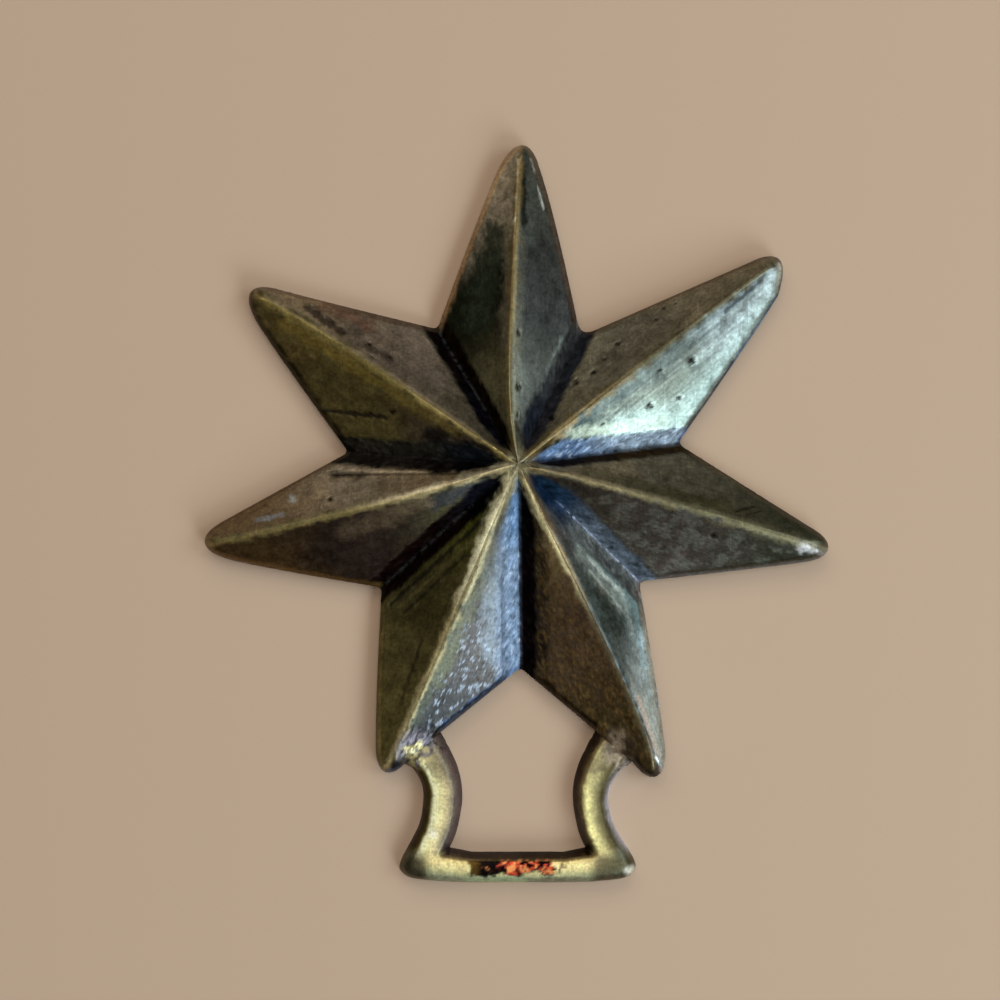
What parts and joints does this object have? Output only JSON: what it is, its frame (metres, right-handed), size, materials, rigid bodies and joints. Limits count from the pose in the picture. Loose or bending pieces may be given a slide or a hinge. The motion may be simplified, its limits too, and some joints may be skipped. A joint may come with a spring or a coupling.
{
  "type": "horse brass",
  "caption": "Cast brass star ornament with raised, ridged rays and a strap loop at its foot, hung from a harness strap and lying flat on its back when loose.",
  "frame": {"origin": "middle of the bounding box in plan, on the plane of the flat rim that the brass lies on", "axes": "+Z out of the front of the star, +Y from the strap bar towards the ray opposite to it, +X to the right seen from the front"},
  "size_m": [0.0758, 0.0898, 0.0084],
  "materials": {
    "brass": "old cast brass: bright worn ridges, dull grey-brown flanks with pits, blue-black patina in the grooves"
  },
  "bodies": {
    "root": {"star_brass": "brass"}
  },
  "joints": []
}
